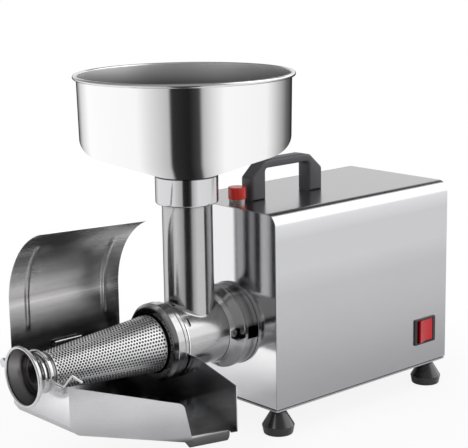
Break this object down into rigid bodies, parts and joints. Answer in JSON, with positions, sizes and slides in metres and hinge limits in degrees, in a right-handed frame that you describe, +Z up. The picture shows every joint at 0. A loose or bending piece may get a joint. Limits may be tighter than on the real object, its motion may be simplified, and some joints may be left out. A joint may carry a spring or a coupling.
{
  "type": "electric tomato strainer",
  "caption": "Motor-driven tomato strainer: steel box with gear motor, feed tube with round hopper, conical perforated screen, side-draining juice tray, splash guard and flared waste outlet.",
  "frame": {"origin": "below the middle of the whole object, at the level of the soles of the feet", "axes": "+Z up, +Y from the waste outlet towards the motor box along the drive axis, +X towards the side with the switch and the tray's spout"},
  "size_m": [0.2494, 0.5784, 0.418],
  "materials": {
    "stainless_sheet": "satin stainless sheet",
    "mirror_steel": "polished stainless sheet",
    "screen_steel": "perforated stainless sheet",
    "polished_alloy": "polished casting",
    "cast_alloy": "turned, satin",
    "gearbox_alloy": "as cast",
    "plain_steel": "machined",
    "zinc_steel": "zinc plated",
    "bronze": "sintered",
    "copper": "enamelled wire",
    "motor_paint": "black paint",
    "capacitor_can": "smooth",
    "black_plastic": "satin",
    "grey_plastic": "satin",
    "red_plastic": "glossy",
    "rubber_foot": "shiny rubber",
    "black_rubber": "matte"
  },
  "bodies": {
    "frame": {"foot_front_left": "rubber_foot", "foot_front_right": "rubber_foot", "foot_rear_left": "rubber_foot", "foot_rear_right": "rubber_foot", "foot_screws": "zinc_steel", "base_plate": "stainless_sheet", "joint_strip": "black_rubber", "housing_cover": "stainless_sheet", "front_plate": "mirror_steel", "rear_plate": "stainless_sheet", "rear_screws": "zinc_steel", "cable_grommet": "black_rubber", "handle": "grey_plastic", "handle_screws": "zinc_steel", "button_base": "cast_alloy", "button_spring": "zinc_steel", "switch_block": "black_plastic", "switch_bezel": "black_plastic", "gearbox_case": "gearbox_alloy", "gearbox_cover": "gearbox_alloy", "output_bearing": "bronze", "motor_case": "motor_paint", "motor_cap_front": "gearbox_alloy", "motor_cap_rear": "gearbox_alloy", "motor_bearing_front": "plain_steel", "motor_bearing_rear": "plain_steel", "stator_core": "plain_steel", "stator_windings": "copper", "motor_cradle": "zinc_steel", "capacitor": "capacitor_can", "nose_hub": "polished_alloy", "hub_screws": "zinc_steel", "nose_bush": "bronze", "strainer_body": "polished_alloy", "locking_screw": "zinc_steel", "shaft_seal": "black_rubber", "filter_screen": "screen_steel", "screen_end_ring": "stainless_sheet", "waste_outlet": "stainless_sheet", "juice_tray": "mirror_steel", "guard_hinge_pin": "stainless_sheet", "bail_rivet": "stainless_sheet"},
    "drive": {"output_shaft": "plain_steel", "output_gear": "plain_steel", "auger_core": "grey_plastic", "auger_flight": "grey_plastic"},
    "layshaft_body": {"layshaft": "plain_steel", "layshaft_gear": "plain_steel"},
    "rotor": {"rotor_shaft": "plain_steel", "rotor_core": "plain_steel", "motor_fan": "black_plastic"},
    "rocker": {"switch_rocker": "red_plastic"},
    "reset_button": {"button_cap": "red_plastic"},
    "hopper": {"hopper_floor": "stainless_sheet", "hopper_wall": "stainless_sheet", "hopper_collar": "polished_alloy"},
    "ring_nut_body": {"ring_nut": "polished_alloy"},
    "guard": {"splash_guard": "mirror_steel", "guard_staple": "stainless_sheet"},
    "bail": {"retaining_wire": "stainless_sheet"}
  },
  "joints": [
    {"name": "output_spin", "type": "hinge", "parent": "frame", "child": "drive", "pos_m": [0, -0.10775, 0.1195], "axis": [0, 1, 0], "continuous": true},
    {"name": "layshaft_spin", "type": "hinge", "parent": "frame", "child": "layshaft_body", "pos_m": [-0.03904, 0.01225, 0.15074], "axis": [0, 1, 0], "continuous": true},
    {"name": "rotor_spin", "type": "hinge", "parent": "frame", "child": "rotor", "pos_m": [0, 0.11125, 0.176], "axis": [0, 1, 0], "continuous": true},
    {"name": "rocker_tilt", "type": "hinge", "parent": "frame", "child": "rocker", "pos_m": [0.083, 0.24655, 0.0768], "axis": [0, 0, -1], "range_deg": [0, 16]},
    {"name": "button_press", "type": "slide", "parent": "frame", "child": "reset_button", "axis": [0, 0, -1], "range_m": [0, 0.003], "stiffness_N_per_m": 400, "springref_m": -0.002, "deforming": ["button_spring"]},
    {"name": "hopper_lift", "type": "slide", "parent": "frame", "child": "hopper", "axis": [0, 0, 1], "range_m": [0, 0.06]},
    {"name": "ring_nut_turn", "type": "hinge", "parent": "frame", "child": "ring_nut_body", "pos_m": [0, -0.11175, 0.1195], "axis": [0, 1, 0], "continuous": true},
    {"name": "guard_fold", "type": "hinge", "parent": "frame", "child": "guard", "pos_m": [-0.0574, -0.19275, 0.1075], "axis": [0, -1, 0], "range_deg": [0, 70]},
    {"name": "bail_lift", "type": "hinge", "parent": "frame", "child": "bail", "pos_m": [-0.064, -0.26875, 0.1165], "axis": [0, -1, 0], "range_deg": [0, 60]}
  ],
  "couplings": [
    {"joint": "layshaft_spin", "follows": "output_spin", "ratio": -2.8462},
    {"joint": "rotor_spin", "follows": "output_spin", "ratio": 9.7582}
  ]
}
